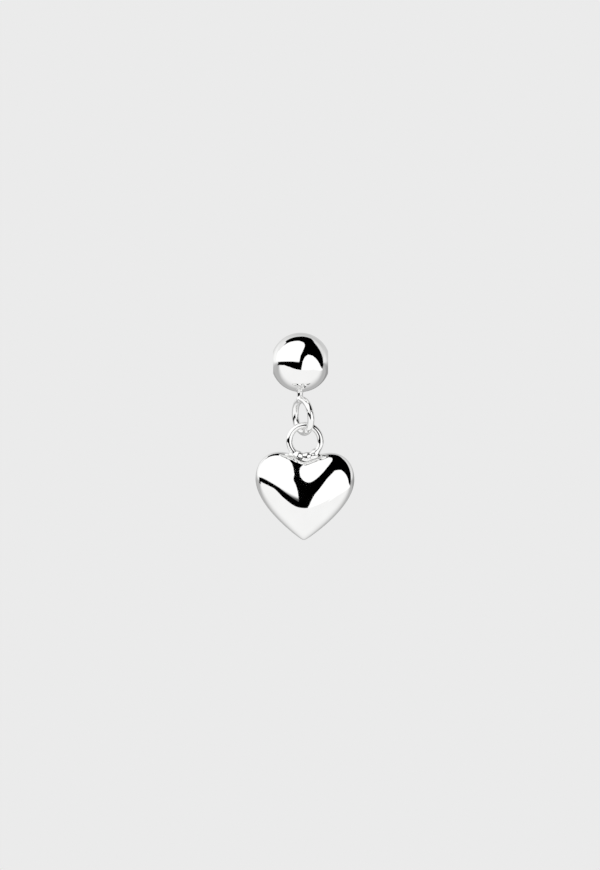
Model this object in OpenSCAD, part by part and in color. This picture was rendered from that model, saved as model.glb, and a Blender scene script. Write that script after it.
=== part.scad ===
// Heart charm. A drilled ball bead carries a soldered link, and a puffed heart hangs from the link by its own ring.
// Millimetres, +Z up. +X runs along the bore and -Y points at the viewer. The origin is the centre of the ball.

/* [Bead] */
// Diameter of the ball
bead_d = 6; // [5:0.1:8]
// Diameter of the bore, which runs through the ball from side to side
bore_d = 2; // [1.6:0.1:2.4]
// Width of the bevel at each rim of the bore
rim_bevel = 0.1; // [0.05:0.01:0.2]

/* [Neck] */
// Diameter of the neck between the ball and the link
neck_d = 0.6; // [0.5:0.02:0.7]
// Length of the neck that shows under the ball
neck_h = 0.46; // [0.3:0.02:0.8]
// Distance of the neck from the middle of the ball, towards -X
neck_shift = 0.06; // [0:0.02:0.2]
// Height of the cone of solder where the neck meets the ball
neck_solder = 0.16; // [0.1:0.02:0.2]

/* [Link] */
// Outer diameter of the link
link_od = 4; // [3.6:0.1:4.6]
// Diameter of the link's wire
link_wire = 0.68; // [0.5:0.02:0.7]
// Distance of the link's head from the middle of the ball, towards +X
link_shift = 0.06; // [0:0.02:0.2]
// Angle between the link's plane and the viewer's line of sight
link_turn = 28; // [0:1:40]
// Slant of the link in the front view, with its foot towards +X
link_slant = 6.5; // [0:0.5:10]
// Width of the seam where the ends of the link's wire meet
seam_gap = 0.05; // [0.03:0.01:0.1]
// Height of the seam on the near limb, as an angle above the link's middle
seam_angle = 12; // [-30:1:30]

/* [Heart ring] */
// Outer diameter of the ring on the heart
ring_od = 3.8; // [3.4:0.1:4.4]
// Diameter of the ring's wire
ring_wire = 0.64; // [0.5:0.02:0.7]
// Clearance between the ring and the link that it hangs from
hang_gap = 0.07; // [0.05:0.01:0.1]
// Diameter of the beads of solder along the foot of the ring
solder_d = 0.86; // [0.8:0.02:1]
// Angle between neighbouring beads of solder, round the ring
solder_step = 32; // [20:2:40]
// Angle by which the middle bead of solder sits off the foot of the ring, towards +X
solder_shift = 8; // [-10:2:10]

/* [Heart] */
// Width of the heart
heart_w = 10; // [8:0.1:12]
// Thickness of the heart, from front to back
heart_t = 4.8; // [3.6:0.1:6]
// Height of the cleft above the thickest level
heart_rise = 4.64; // [4:0.02:6]
// Depth of the tip below the thickest level
heart_fall = 3.57; // [2.6:0.01:5]
// Slope that lifts the lobes and draws out the tip, as rise over run
lobe_slope = 0.7; // [0.6:0.01:0.9]
// Radius that softens the cleft
cleft_soft = 0.49; // [0.3:0.01:1]
// Radius that softens the groove and the ridge where they meet, at the thickest level
belly_soft = 1.57; // [0.5:0.01:2]
// Radius that softens the tip
tip_soft = 0.22; // [0.1:0.02:0.5]
// Depth to which the foot of the ring is let into the cleft
ring_sink = 0.06; // [0.04:0.02:0.3]
// Lean of the heart in the front view, with its tip towards -X
heart_lean = 1.1; // [0:0.1:4]
// Distance of the heart's middle from the middle of its ring, towards +X
heart_shift = 0.08; // [0:0.02:0.3]

/* [Hidden] */
$fn = 96;
bead_r = bead_d / 2;
bore_r = bore_d / 2;
neck_r = neck_d / 2;
// Half the distance between the rims, where the bore leaves the ball
bore_end = sqrt(pow(bead_r, 2) - pow(bore_r + rim_bevel, 2));
// Radius of each ring, measured to the middle of its wire
link_r = (link_od - link_wire) / 2;
ring_r = (ring_od - ring_wire) / 2;
// Middle of the link's wire at its head, under the neck, and at its foot
link_head = [link_shift, 0, -bead_r - neck_h - link_wire / 2];
link_foot = link_head + 2 * link_r * [sin(link_slant), 0, -cos(link_slant)];
// Middle of the ring's wire at its head, which is the axis that the heart swings about, and at the ring's centre
swing_axis = link_foot + [0, 0, (link_wire + ring_wire) / 2 + hang_gap];
ring_centre = swing_axis - [0, 0, ring_r];
// Depth of the heart's thickest level under the ring's centre
heart_drop = ring_od / 2 - ring_sink + heart_rise;
// Steps round the outline of the heart and from its front to its back
OUTLINE_STEPS = 96;
DEPTH_STEPS = 28;
// How strongly the steps crowd towards the cleft and the tip
CROWDING = 20;

// Angle of one step round the outline, which starts at the +X side
function outline_angle(i) =
    let (even = 360 * i / OUTLINE_STEPS)
    even + CROWDING * sin(2 * even);

// Softening radius at a height that runs from -1 at the tip, past 0 at the belly, to 1 at the cleft
function soft_radius(height) =
    belly_soft + (cleft_soft - tip_soft) / 2 * height + ((cleft_soft + tip_soft) / 2 - belly_soft) * pow(height, 2);

// A point of the heart's skin. The outline shrinks from size 1 at the edge to size 0 at the front and the back.
function skin_point(angle, size, depth) =
    let (
        height = size * sin(angle),
        x = size * cos(angle) * heart_w / 2,
        reach = height > 0 ? heart_rise : heart_fall,
        soft = soft_radius(height)
    )
    [x, depth * heart_t / 2, height * reach + lobe_slope * (sqrt(x * x + soft * soft) - soft)];

// The skin's points, ring by ring from the front pole to the back pole
function skin_points() = [
    skin_point(0, 0, -1),
    for (j = [1 : DEPTH_STEPS - 1], i = [0 : OUTLINE_STEPS - 1])
        skin_point(outline_angle(i), sin(180 * j / DEPTH_STEPS), -cos(180 * j / DEPTH_STEPS)),
    skin_point(0, 0, 1)
];

// Index of a point of the skin, counted round ring j
function skin_index(j, i) = 1 + (j - 1) * OUTLINE_STEPS + i % OUTLINE_STEPS;

function skin_faces() =
    let (back_pole = 1 + (DEPTH_STEPS - 1) * OUTLINE_STEPS, last = DEPTH_STEPS - 1)
    [
        for (i = [0 : OUTLINE_STEPS - 1]) each [
            [0, skin_index(1, i + 1), skin_index(1, i)],
            [back_pole, skin_index(last, i), skin_index(last, i + 1)]
        ],
        for (j = [1 : last - 1], i = [0 : OUTLINE_STEPS - 1]) each [
            [skin_index(j, i), skin_index(j, i + 1), skin_index(j + 1, i + 1)],
            [skin_index(j, i), skin_index(j + 1, i + 1), skin_index(j + 1, i)]
        ]
    ];

// A ring of round wire in the XZ plane, with its middle at the origin
module wire_ring(radius, wire) {
    rotate([90, 0, 0])
        rotate_extrude()
            translate([radius, 0])
                circle(d = wire);
}

// The ball with its bore along X and a bevel at each rim
module ball() {
    rotate([0, 90, 0])
        difference() {
            sphere(r = bead_r);
            cylinder(r = bore_r, h = 2 * bead_r, center = true);
            for (side = [0, 180])
                rotate([side, 0, 0])
                    translate([0, 0, bore_end - rim_bevel])
                        cylinder(r1 = bore_r, r2 = bore_r + 2 * rim_bevel, h = 2 * rim_bevel);
        }
}

// The neck from inside the ball to the middle of the link's wire, with a cone of solder that runs into the ball
module neck() {
    sunk = 0.3;
    cone_r = neck_r - neck_solder / 4;
    cone_h = neck_solder * 5 / 2;
    translate([-neck_shift, 0, link_head[2]])
        cylinder(r = neck_r, h = -link_head[2] - bead_r + sunk);
    translate([-neck_shift, 0, -bead_r - neck_solder])
        cylinder(r1 = cone_r, r2 = cone_r + cone_h, h = cone_h);
}

// The link under the neck, open by a hair at its seam
module link() {
    translate(link_head)
        rotate([0, -link_slant, 0])
            rotate([0, 0, link_turn - 90])
                translate([0, 0, -link_r])
                    difference() {
                        wire_ring(link_r, link_wire);
                        rotate([0, -seam_angle, 0])
                            translate([link_r, 0, 0])
                                cube([2 * link_wire, 2 * link_wire, seam_gap], center = true);
                    }
}

// The puffed heart, with the middle of its thickest level at the origin
module puffed_heart() {
    polyhedron(points = skin_points(), faces = skin_faces());
}

// Solder between the foot of the ring and the cleft, as three beads that run together
module solder() {
    rotate([90, 0, 0])
        for (place = [-1 : 1])
            rotate([0, 0, solder_shift + solder_step * place - 90])
                translate([ring_r, 0, 0])
                    rotate([90, 0, 0])
                        sphere(d = solder_d);
}

module bead() {
    color("gainsboro")
        union() {
            ball();
            neck();
            link();
        }
}

module heart() {
    color("silver")
        translate(ring_centre)
            union() {
                wire_ring(ring_r, ring_wire);
                rotate([0, heart_lean, 0]) {
                    solder();
                    translate([heart_shift, 0, -heart_drop])
                        puffed_heart();
                }
            }
}

bead();
heart();
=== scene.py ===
# Studio picture of a heart charm. The smooth silver skins below stand for the faceted solids of the frame.
# Shapes are worked out in millimetres in the frame of the part and scaled to metres at the end.
from math import asin, cos, pi, radians, sin

import bmesh
import bpy
import numpy as np
from mathutils import Matrix, Vector


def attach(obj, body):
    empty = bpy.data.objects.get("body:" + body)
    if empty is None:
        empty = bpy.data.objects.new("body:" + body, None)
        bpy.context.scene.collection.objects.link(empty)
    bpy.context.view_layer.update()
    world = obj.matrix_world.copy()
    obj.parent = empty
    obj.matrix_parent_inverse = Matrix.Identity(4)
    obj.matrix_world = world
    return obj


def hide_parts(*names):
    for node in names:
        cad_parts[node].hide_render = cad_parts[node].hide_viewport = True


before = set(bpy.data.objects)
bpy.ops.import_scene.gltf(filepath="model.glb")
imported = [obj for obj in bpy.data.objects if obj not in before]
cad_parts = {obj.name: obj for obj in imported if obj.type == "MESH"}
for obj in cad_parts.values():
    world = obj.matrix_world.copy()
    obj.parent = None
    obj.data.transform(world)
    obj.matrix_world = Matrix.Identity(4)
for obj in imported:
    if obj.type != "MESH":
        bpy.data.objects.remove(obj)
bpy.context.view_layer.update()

MM = 0.001

# The named sizes of the part, in millimetres and degrees
BEAD_R, BORE_R, RIM_SOFT = 3.0, 1.0, 0.16
NECK_R, NECK_H, NECK_SHIFT, BALL_SOLDER, LINK_SOLDER = 0.3, 0.46, 0.06, 0.14, 0.18
LINK_OD, LINK_WIRE, LINK_SHIFT, LINK_TURN, LINK_SLANT = 4.0, 0.68, 0.06, 28, 6.5
SEAM_WIDTH, SEAM_DEPTH, SEAM_ANGLE = 0.12, 0.1, 12
RING_OD, RING_WIRE, HANG_GAP = 3.8, 0.64, 0.07
SOLDER_D, SOLDER_STEP, SOLDER_SHIFT, SOLDER_SOFT, CLEFT_SOLDER = 0.86, 32, 8, 0.16, 0.3
HEART_W, HEART_T, HEART_RISE, HEART_FALL = 10.0, 4.8, 4.64, 3.57
LOBE_SLOPE, CLEFT_SOFT, BELLY_SOFT, TIP_SOFT = 0.7, 0.49, 1.57, 0.22
RING_SINK, HEART_LEAN, HEART_SHIFT = 0.06, 1.1, 0.08

# The width of the cells that the skins are meshed with
CELL = 0.055

LINK_R = (LINK_OD - LINK_WIRE) / 2
RING_R = (RING_OD - RING_WIRE) / 2
LINK_HEAD = Vector((LINK_SHIFT, 0, -BEAD_R - NECK_H - LINK_WIRE / 2))
SLANT = radians(LINK_SLANT)
LINK_FOOT = LINK_HEAD + 2 * LINK_R * Vector((sin(SLANT), 0, -cos(SLANT)))
SWING_AXIS = LINK_FOOT + Vector((0, 0, (LINK_WIRE + RING_WIRE) / 2 + HANG_GAP))
RING_CENTRE = SWING_AXIS - Vector((0, 0, RING_R))
HEART_DROP = RING_OD / 2 - RING_SINK + HEART_RISE


def turned(axis, degrees):
    return Matrix.Rotation(radians(degrees), 4, axis)


LINK_PLACE = (Matrix.Translation(LINK_HEAD) @ turned("Y", -LINK_SLANT) @ turned("Z", LINK_TURN - 90)
              @ Matrix.Translation((0, 0, -LINK_R)))
RING_PLACE = Matrix.Translation(RING_CENTRE)
LEAN_PLACE = RING_PLACE @ turned("Y", HEART_LEAN)
HEART_PLACE = LEAN_PLACE @ Matrix.Translation((HEART_SHIFT, 0, -HEART_DROP))


# Skins: each is the zero level of a distance, in millimetres, of points given as rows of x, y and z

def local(points, place):
    inverse = np.array(place.inverted())
    return points @ inverse[:3, :3].T + inverse[:3, 3]


def merged(a, b, soft):
    """The nearer of two skins, run together by a fillet."""
    overlap = np.maximum(soft - np.abs(a - b), 0) / soft
    return np.minimum(a, b) - overlap * overlap * soft / 4


def wire_skin(points, place, radius, wire):
    x, y, z = local(points, place).T
    return np.hypot(np.hypot(x, z) - radius, y) - wire / 2


def ball_skin(points):
    bore = BORE_R - np.hypot(points[:, 1], points[:, 2])
    return -merged(BEAD_R - np.linalg.norm(points, axis=1), -bore, RIM_SOFT)


def neck_skin(points):
    x, y, z = points.T
    below = np.clip(z, LINK_HEAD[2], -BEAD_R + NECK_R)
    return np.sqrt((x + NECK_SHIFT) ** 2 + y ** 2 + (z - below) ** 2) - NECK_R


def link_skin(points):
    x, y, z = local(points, LINK_PLACE).T
    seam = radians(SEAM_ANGLE)
    along = z * cos(seam) - x * sin(seam)
    near = x * cos(seam) + z * sin(seam) > 0
    groove = SEAM_DEPTH * near * np.maximum(1 - 2 * np.abs(along) / SEAM_WIDTH, 0)
    return wire_skin(points, LINK_PLACE, LINK_R, LINK_WIRE) + groove


def ring_skin(points):
    return wire_skin(points, RING_PLACE, RING_R, RING_WIRE)


def solder_centres():
    turns = [radians(SOLDER_SHIFT + SOLDER_STEP * place - 90) for place in (-1, 0, 1)]
    return [LEAN_PLACE @ Vector((RING_R * cos(turn), 0, RING_R * sin(turn))) for turn in turns]


def solder_skin(points):
    left, middle, right = [np.linalg.norm(points - np.array(centre), axis=1) - SOLDER_D / 2
                           for centre in solder_centres()]
    return merged(merged(left, middle, SOLDER_SOFT), right, SOLDER_SOFT)


def soft_radius(height):
    """How far cleft, groove and ridge are softened, at a height from -1 at the tip to 1 at the cleft."""
    ends = (CLEFT_SOFT + TIP_SOFT) / 2 - BELLY_SOFT
    return BELLY_SOFT + (CLEFT_SOFT - TIP_SOFT) / 2 * height + ends * height ** 2


def heart_level(points):
    """Below 0 inside the heart and above 0 outside it."""
    x, y, z = local(points, HEART_PLACE).T
    height = np.zeros_like(z)
    for _ in range(12):
        soft = soft_radius(np.clip(height, -1, 1))
        raised = z - LOBE_SLOPE * (np.sqrt(x * x + soft * soft) - soft)
        height = raised / np.where(raised > 0, HEART_RISE, HEART_FALL)
    return np.sqrt((2 * x / HEART_W) ** 2 + (2 * y / HEART_T) ** 2 + height ** 2) - 1


def slope_of(level, points, step=1e-4):
    sides = []
    for axis in range(3):
        move = np.zeros(3)
        move[axis] = step
        sides.append((level(points + move) - level(points - move)) / (2 * step))
    return np.stack(sides, axis=1)


def heart_skin(points):
    slope = np.linalg.norm(slope_of(heart_level, points), axis=1)
    return heart_level(points) / np.maximum(slope, 0.05)


def bead_skin(points):
    return merged(merged(ball_skin(points), neck_skin(points), BALL_SOLDER), link_skin(points), LINK_SOLDER)


def charm_skin(points):
    soldered_ring = merged(ring_skin(points), solder_skin(points), SOLDER_SOFT)
    return merged(soldered_ring, heart_skin(points), CLEFT_SOLDER)


# Meshing

def lathe(bm, profile, place, steps=160):
    """A closed profile of (radius, height) turned about the Z axis of a place."""
    rows = [[bm.verts.new(place @ Vector((r * cos(t), r * sin(t), h))) for r, h in profile]
            for t in np.linspace(0, 2 * pi, steps, endpoint=False)]
    for i in range(steps):
        for j in range(len(profile)):
            k = (j + 1) % len(profile)
            bm.faces.new((rows[i][j], rows[i][k], rows[i - 1][k], rows[i - 1][j]))


def wire_seed(bm, place, radius, wire):
    turns = np.linspace(0, 2 * pi, 32, endpoint=False)
    circle = [(radius + wire / 2 * cos(t), wire / 2 * sin(t)) for t in turns]
    lathe(bm, circle, place @ turned("X", 90))


def ball_seed(bm):
    rim = asin(BORE_R / BEAD_R)
    arc = [(BEAD_R * sin(t), BEAD_R * cos(t)) for t in np.linspace(rim, pi - rim, 90)]
    lathe(bm, arc, turned("Y", 90))


def sphere_seed(bm, centre, diameter):
    bmesh.ops.create_uvsphere(bm, u_segments=48, v_segments=24, radius=diameter / 2,
                              matrix=Matrix.Translation(centre))


def heart_seed(bm):
    made = bmesh.ops.create_uvsphere(bm, u_segments=160, v_segments=80, radius=1)["verts"]
    for vert in made:
        x, y, height = vert.co
        x, y = x * HEART_W / 2, y * HEART_T / 2
        soft = soft_radius(height)
        raised = height * (HEART_RISE if height > 0 else HEART_FALL)
        vert.co = HEART_PLACE @ Vector((x, y, raised + LOBE_SLOPE * ((x * x + soft * soft) ** 0.5 - soft)))


def coords(mesh):
    flat = np.empty(3 * len(mesh.vertices))
    mesh.vertices.foreach_get("co", flat)
    return flat.reshape(-1, 3)


def even_mesh(mesh, cell):
    """One closed mesh of even cells round everything in the given one."""
    work = bpy.data.objects.new("work", mesh)
    bpy.context.scene.collection.objects.link(work)
    remesh = work.modifiers.new("even", "REMESH")
    remesh.mode, remesh.voxel_size = "VOXEL", cell
    seen = work.evaluated_get(bpy.context.evaluated_depsgraph_get())
    even = bpy.data.meshes.new_from_object(seen)
    bpy.data.objects.remove(work)
    return even


def settle(mesh, skin, rounds=8):
    """Moves every vertex onto the skin."""
    points = coords(mesh)
    for _ in range(rounds):
        slope = slope_of(skin, points)
        steepness = np.maximum((slope ** 2).sum(axis=1), 0.2)
        step = (skin(points) / steepness)[:, None] * slope
        length = np.linalg.norm(step, axis=1, keepdims=True)
        points = points - step * np.minimum(1, 0.1 / np.maximum(length, 1e-9))
    mesh.vertices.foreach_set("co", points.ravel())
    mesh.update()


def cut_seam(mesh):
    """Lines of vertices along both edges and the bottom of the link's seam."""
    bm = bmesh.new()
    bm.from_mesh(mesh)
    seam = radians(SEAM_ANGLE)
    middle = LINK_PLACE @ Vector((LINK_R * cos(seam), 0, LINK_R * sin(seam)))
    along = LINK_PLACE.to_3x3() @ Vector((-sin(seam), 0, cos(seam)))
    for side in (-1, -0.5, 0, 0.5, 1):
        near = [face for face in bm.faces if (face.calc_center_median() - middle).length < LINK_WIRE]
        edges = {edge for face in near for edge in face.edges}
        verts = {vert for face in near for vert in face.verts}
        bmesh.ops.bisect_plane(bm, geom=[*near, *edges, *verts], dist=1e-4, plane_no=along,
                               plane_co=middle + along * side * SEAM_WIDTH / 2)
    bm.to_mesh(mesh)
    bm.free()


def solid(seeds, skin, cell, finish=None):
    bm = bmesh.new()
    for seed, *sizes in seeds:
        seed(bm, *sizes)
    mesh = bpy.data.meshes.new("seed")
    bm.to_mesh(mesh)
    bm.free()
    for _ in range(2):
        mesh = even_mesh(mesh, cell)
        settle(mesh, skin)
    if finish:
        finish(mesh)
        settle(mesh, skin, 3)
    return mesh


def pieces_of(mesh, skin, parts):
    """Splits a soldered solid where each part shows, and keeps the shading smooth across the joints."""
    points = coords(mesh)
    normals = slope_of(skin, points)
    normals /= np.maximum(np.linalg.norm(normals, axis=1, keepdims=True), 1e-9)
    nearest = np.argmin(np.stack([part(points) for part in parts.values()]), axis=0)
    made = []
    for index, name in enumerate(parts):
        faces = [face.vertices[:] for face in mesh.polygons if nearest[face.vertices[0]] == index]
        used = sorted({vert for face in faces for vert in face})
        place = {vert: at for at, vert in enumerate(used)}
        part = bpy.data.meshes.new(name)
        part.from_pydata((points[used] * MM).tolist(), [], [[place[vert] for vert in face] for face in faces])
        part.shade_smooth()
        part.normals_split_custom_set_from_vertices(normals[used].tolist())
        piece = bpy.data.objects.new(name, part)
        bpy.context.scene.collection.objects.link(piece)
        made.append(piece)
    return made


# Materials

def node_material(name):
    material = bpy.data.materials.new(name)
    material.use_nodes = True
    nodes, links = material.node_tree.nodes, material.node_tree.links
    nodes.clear()
    return material, nodes, links


def silver(name, roughness, scratch, waviness):
    """Mirror-polished silver with faint haze, fine polishing scratches and the soft waves of hand work."""
    material, nodes, links = node_material(name)
    out = nodes.new("ShaderNodeOutputMaterial")
    metal = nodes.new("ShaderNodeBsdfPrincipled")
    metal.inputs["Metallic"].default_value = 1
    place = nodes.new("ShaderNodeTexCoord")

    haze = nodes.new("ShaderNodeTexNoise")
    haze.inputs["Scale"].default_value = 420
    haze.inputs["Detail"].default_value = 5
    rough = nodes.new("ShaderNodeMapRange")
    rough.inputs["From Min"].default_value, rough.inputs["From Max"].default_value = 0.35, 0.75
    rough.inputs["To Min"].default_value, rough.inputs["To Max"].default_value = roughness

    tone = nodes.new("ShaderNodeValToRGB")
    tone.color_ramp.elements[0].position, tone.color_ramp.elements[1].position = 0.3, 0.7
    tone.color_ramp.elements[0].color = (0.93, 0.93, 0.925, 1)
    tone.color_ramp.elements[1].color = (0.97, 0.97, 0.965, 1)

    stretch = nodes.new("ShaderNodeMapping")
    stretch.inputs["Scale"].default_value = (9000, 5000, 1200)
    scratches = nodes.new("ShaderNodeTexNoise")
    scratches.inputs["Scale"].default_value = 1
    scratches.inputs["Detail"].default_value = 3
    fine = nodes.new("ShaderNodeBump")
    fine.inputs["Strength"].default_value = scratch
    fine.inputs["Distance"].default_value = 0.001 * MM

    waves = nodes.new("ShaderNodeTexNoise")
    waves.inputs["Scale"].default_value = 500
    soft = nodes.new("ShaderNodeBump")
    soft.inputs["Strength"].default_value = 1
    soft.inputs["Distance"].default_value = waviness * MM

    for texture in (haze, stretch, waves):
        links.new(place.outputs["Object"], texture.inputs["Vector"])
    links.new(stretch.outputs["Vector"], scratches.inputs["Vector"])
    links.new(haze.outputs["Fac"], rough.inputs["Value"])
    links.new(haze.outputs["Fac"], tone.inputs["Fac"])
    links.new(rough.outputs["Result"], metal.inputs["Roughness"])
    links.new(tone.outputs["Color"], metal.inputs["Base Color"])
    links.new(waves.outputs["Fac"], soft.inputs["Height"])
    links.new(scratches.outputs["Fac"], fine.inputs["Height"])
    links.new(soft.outputs["Normal"], fine.inputs["Normal"])
    links.new(fine.outputs["Normal"], metal.inputs["Normal"])
    links.new(metal.outputs["BSDF"], out.inputs["Surface"])
    return material


# The charm

def build(seeds, skin, parts, body, finish=None):
    mesh = solid(seeds, skin, CELL, finish)
    pieces = pieces_of(mesh, skin, {name: part for name, (part, _) in parts.items()})
    for piece, (_, material) in zip(pieces, parts.values()):
        piece.data.materials.append(material)
        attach(piece, body)
        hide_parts(body)


polished = silver("polished_silver", roughness=(0.02, 0.05), scratch=0.15, waviness=0.0)
drawn_wire = silver("wire_silver", roughness=(0.03, 0.08), scratch=0.2, waviness=0.0)
soldered = silver("soldered_silver", roughness=(0.05, 0.12), scratch=0.25, waviness=0.01)

NECK_TOP, NECK_FOOT = -BEAD_R + 0.3, LINK_HEAD[2]


def neck_seed(bm):
    middle = Vector((-NECK_SHIFT, 0, (NECK_TOP + NECK_FOOT) / 2))
    bmesh.ops.create_cone(bm, cap_ends=True, segments=32, radius1=NECK_R, radius2=NECK_R,
                          depth=NECK_TOP - NECK_FOOT, matrix=Matrix.Translation(middle))


build(
    seeds=[(ball_seed,), (neck_seed,), (wire_seed, LINK_PLACE, LINK_R, LINK_WIRE)],
    skin=bead_skin,
    parts={"ball": (ball_skin, polished), "neck": (neck_skin, soldered), "link": (link_skin, drawn_wire)},
    body="bead", finish=cut_seam,
)
build(
    seeds=[(heart_seed,), (wire_seed, RING_PLACE, RING_R, RING_WIRE)]
          + [(sphere_seed, centre, SOLDER_D) for centre in solder_centres()],
    skin=charm_skin,
    parts={"puffed_heart": (heart_skin, polished), "heart_ring": (ring_skin, drawn_wire),
           "solder": (solder_skin, soldered)},
    body="heart",
)


# Studio

PAPER = 0.831
BRIGHT, PALE = 1.08, 0.95
BOX_AWAY, RIGHT_AWAY, BACK_AWAY, CARD_FLOOR = 74, 60, 60, -26


def glow(name, strength, fades=()):
    """A light whose strength falls off across it. A fade is (direction, start, end, share left), in
    millimetres, and a direction of None is outwards from the middle."""
    material, nodes, links = node_material(name)
    light = nodes.new("ShaderNodeEmission")
    light.inputs["Strength"].default_value = strength
    place = nodes.new("ShaderNodeTexCoord")
    left = None
    for direction, start, end, share in fades:
        along = nodes.new("ShaderNodeVectorMath")
        along.operation = "DOT_PRODUCT" if direction else "LENGTH"
        along.inputs[1].default_value = Vector(direction or (1, 0, 0)).normalized()
        fall = nodes.new("ShaderNodeMapRange")
        fall.interpolation_type = "SMOOTHSTEP"
        fall.inputs["From Min"].default_value, fall.inputs["From Max"].default_value = start * MM, end * MM
        fall.inputs["To Min"].default_value, fall.inputs["To Max"].default_value = 1, share
        links.new(place.outputs["Object"], along.inputs[0])
        links.new(along.outputs["Value"], fall.inputs["Value"])
        both = nodes.new("ShaderNodeMath")
        both.operation = "MULTIPLY"
        both.inputs[0].default_value = 1
        if left:
            links.new(left, both.inputs[0])
        links.new(fall.outputs["Result"], both.inputs[1])
        left = both.outputs["Value"]
    if left:
        links.new(left, light.inputs["Color"])
    links.new(light.outputs["Emission"], nodes.new("ShaderNodeOutputMaterial").inputs["Surface"])
    return material


def card(name, place, corners, faces, strength, fades=()):
    """A card that is seen only as a reflection in the metal."""
    mesh = bpy.data.meshes.new(name)
    mesh.from_pydata([Vector((*corner, 0)[:3]) * MM for corner in corners], [], faces)
    mesh.materials.append(glow(name, strength, fades))
    obj = bpy.data.objects.new(name, mesh)
    obj.matrix_world = Matrix.LocRotScale(place.translation * MM, place.to_quaternion(), None)
    bpy.context.scene.collection.objects.link(obj)
    obj.visible_camera = obj.visible_diffuse = obj.visible_shadow = obj.visible_transmission = False


def flat_card(name, place, corners, strength, fades=()):
    card(name, place, corners, [range(len(corners))], strength, fades)


def facing(azimuth, elevation, distance):
    """The plane square to a direction. Azimuth 0 looks at the camera and grows towards +X. Local Y climbs."""
    return turned("Z", azimuth) @ turned("X", 90 - elevation) @ Matrix.Translation((0, 0, distance))


# The front reflector bends round the charm between two azimuths and rises from the floor to its rim.
# The rim is high and far on the left and low in front.
FRONT_LEFT, FRONT_MIDDLE, FRONT_RIGHT, FRONT_STEPS = -88, 2, 40, 64
FRONT_FOOT = 25
RIM_NEAR, RIM_LEFT, RIM_FRONT = 27.5, 31, 5.5
RIM_HIGH, RIM_FALL, FALL_START, FALL_WIDTH = -11, 7.8, 0.5, 0.38


def front_rim(azimuth):
    """The radius and the height of the rim."""
    share = (azimuth - FRONT_LEFT) / (FRONT_MIDDLE - FRONT_LEFT)
    left, fall = max(1 - 2 * share, 0), min(max((share - FALL_START) / FALL_WIDTH, 0), 1)
    radius = RIM_NEAR + RIM_LEFT * left ** 2 + RIM_FRONT * fall ** 2
    return radius, RIM_HIGH - RIM_FALL * fall * fall * (3 - 2 * fall)


def front_card(name):
    corners = []
    for azimuth in np.linspace(FRONT_LEFT, FRONT_RIGHT, FRONT_STEPS + 1):
        for radius, height in ((FRONT_FOOT, CARD_FLOOR), front_rim(azimuth)):
            corners.append((radius * sin(radians(azimuth)), -radius * cos(radians(azimuth)), height))
    faces = [(2 * i, 2 * i + 2, 2 * i + 3, 2 * i + 1) for i in range(FRONT_STEPS)]
    card(name, Matrix(), corners, faces, PALE)


flat_card("softbox", facing(-50, 40, BOX_AWAY),
          [(101, -72), (88, -42), (79, -22), (71, -5), (69, 16), (63, 44), (55, 70), (42, 88), (24, 96),
           (-5, 82), (-27, 60), (-47, 45), (-64, 30), (-85, 12), (-260, 0), (-260, -62), (-40, -57), (38, -57),
           (59, -61), (78, -66)],
          BRIGHT, [((0, -1, 0), 52, 66, 0.1)])
# The backdrop card glows as the lit backdrop behind the charm. It is darker towards its middle and its bottom,
# and a little towards its top and its right side: painted shade.
flat_card("backdrop", Matrix.Translation((30, BACK_AWAY, 10)) @ turned("X", 90),
          [(350, -36), (350, 140), (252, 207), (105, 172), (10, 82), (-40, 98), (-90, 75), (-134, 133),
           (-430, 190), (-430, -36)],
          1, [(None, 120, 20, 0.7), ((1, 0, 0), -90, -30, 0.88), ((0, -1, 0), 2, 24, 0.5),
              ((0, 1, 0), 20, 50, 0.86)])
# The floor card glows as the floor that the metal mirrors and gets darker towards the back: a painted shadow
# of the charm on the floor.
flat_card("floor_card", Matrix.Translation((0, 0, CARD_FLOOR)),
          [(64, 6), (46, -32), (14, -42.5), (-11, -48), (-37, -55), (-54, -60), (-146, -65), (-209, 15),
           (-209, 60), (300, 60)],
          PALE, [((0, 1, 0), -4, 24, 0.5)])
front_card("front_card")
flat_card("right_card", facing(62, -8, RIGHT_AWAY),
          [(-88, -30), (-84, 14), (-66, 40), (-40, 50), (-14, 36), (4, 17), (24, -4), (70, -28), (70, -60),
           (-88, -60)],
          BRIGHT)

world = bpy.data.worlds.new("studio")
world.use_nodes = True
world.node_tree.nodes["Background"].inputs["Color"].default_value = (PAPER, PAPER, PAPER, 1)
bpy.context.scene.world = world
world.cycles_visibility.glossy = False

FLOOR_DROP, FLOOR_R = 120, 700
floor_mesh = bpy.data.meshes.new("floor")
bm = bmesh.new()
bmesh.ops.create_circle(bm, cap_ends=True, segments=96, radius=FLOOR_R * MM,
                        matrix=Matrix.Translation((0, 0, -FLOOR_DROP * MM)))
bm.to_mesh(floor_mesh)
bm.free()
floor = bpy.data.objects.new("floor", floor_mesh)
bpy.context.scene.collection.objects.link(floor)
floor.visible_glossy = False
paper, nodes, links = node_material("pale_paper")
matte = nodes.new("ShaderNodeBsdfDiffuse")
matte.inputs["Color"].default_value = (1, 1, 1, 1)
links.new(matte.outputs["BSDF"], nodes.new("ShaderNodeOutputMaterial").inputs["Surface"])
floor_mesh.materials.append(paper)

# Camera: level, at the height of the middle of the picture

LENS, SENSOR = 200, 36
FRAME_H = 88.17
camera_data = bpy.data.cameras.new("camera")
camera_data.lens, camera_data.sensor_width = LENS, SENSOR
camera_data.clip_end = 10
camera = bpy.data.objects.new("camera", camera_data)
camera.location = Vector((-0.06, -FRAME_H * LENS / SENSOR, -7.36)) * MM
camera.rotation_euler = (pi / 2, 0, 0)
bpy.context.scene.collection.objects.link(camera)
bpy.context.scene.camera = camera
bpy.context.scene.view_settings.view_transform = "Standard"
